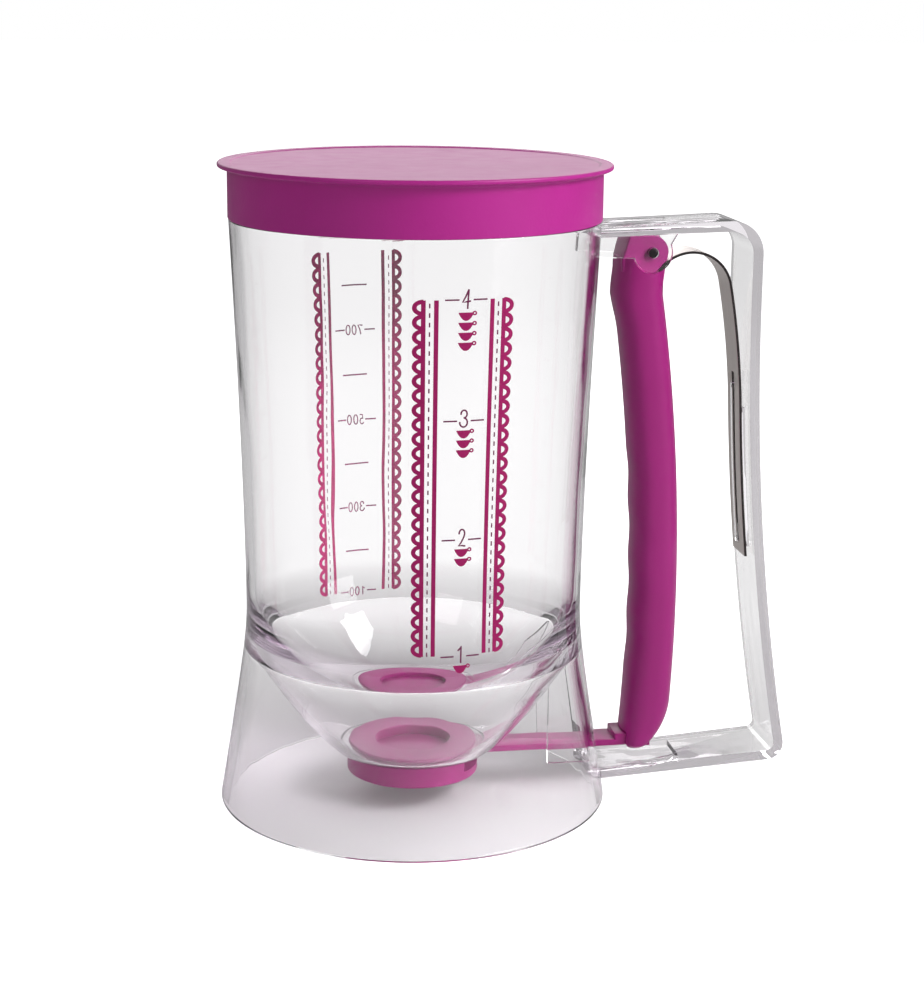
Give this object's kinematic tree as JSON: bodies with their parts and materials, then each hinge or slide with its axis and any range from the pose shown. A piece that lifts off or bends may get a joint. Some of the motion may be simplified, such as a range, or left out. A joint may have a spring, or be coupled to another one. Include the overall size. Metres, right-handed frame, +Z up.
{
  "type": "batter dispenser",
  "caption": "Clear measuring jug with a press-on lid, a round-bottomed bowl on a flared skirt, and a sliding gate valve worked by a sprung lever in a loop handle.",
  "frame": {"origin": "where the vessel's axis meets the table plane, at the centre of the foot ring and straight under the outlet", "axes": "+Z up along the vessel's axis, +X from that axis along the handle, +Y completes the right-handed frame"},
  "size_m": [0.1682, 0.114, 0.1866],
  "materials": {
    "clear_plastic": "clear, polished",
    "lid_plastic": "satin, slightly soft",
    "lever_plastic": "satin",
    "valve_plastic": "semi-gloss",
    "pin_steel": "drawn",
    "spring_steel": "rolled strip"
  },
  "bodies": {
    "jug": {"vessel": "clear_plastic", "bowl": "clear_plastic", "skirt": "clear_plastic", "handle": "clear_plastic", "valve_seat": "valve_plastic", "valve_cap": "valve_plastic", "pivot_pin": "pin_steel", "leaf_spring": "spring_steel"},
    "lid": {"lid": "lid_plastic"},
    "lever": {"lever": "lever_plastic"},
    "valve_slide": {"valve_slide": "valve_plastic"}
  },
  "joints": [
    {"name": "lever_pivot", "type": "hinge", "parent": "jug", "child": "lever", "pos_m": [0.0672, 0, 0.16115], "axis": [0, -1, 0], "range_deg": [0, 10], "stiffness_Nm_per_rad": 1.2, "springref_deg": -8.59, "deforming": ["leaf_spring"]},
    {"name": "gate_slide", "type": "slide", "parent": "jug", "child": "valve_slide", "axis": [1, 0, 0], "range_m": [0, 0.026]},
    {"name": "lid_lift", "type": "slide", "parent": "jug", "child": "lid", "axis": [0, 0, 1], "range_m": [0, 0.04]}
  ],
  "couplings": [
    {"joint": "gate_slide", "follows": "lever_pivot", "m_per_rad": 0.1477}
  ]
}
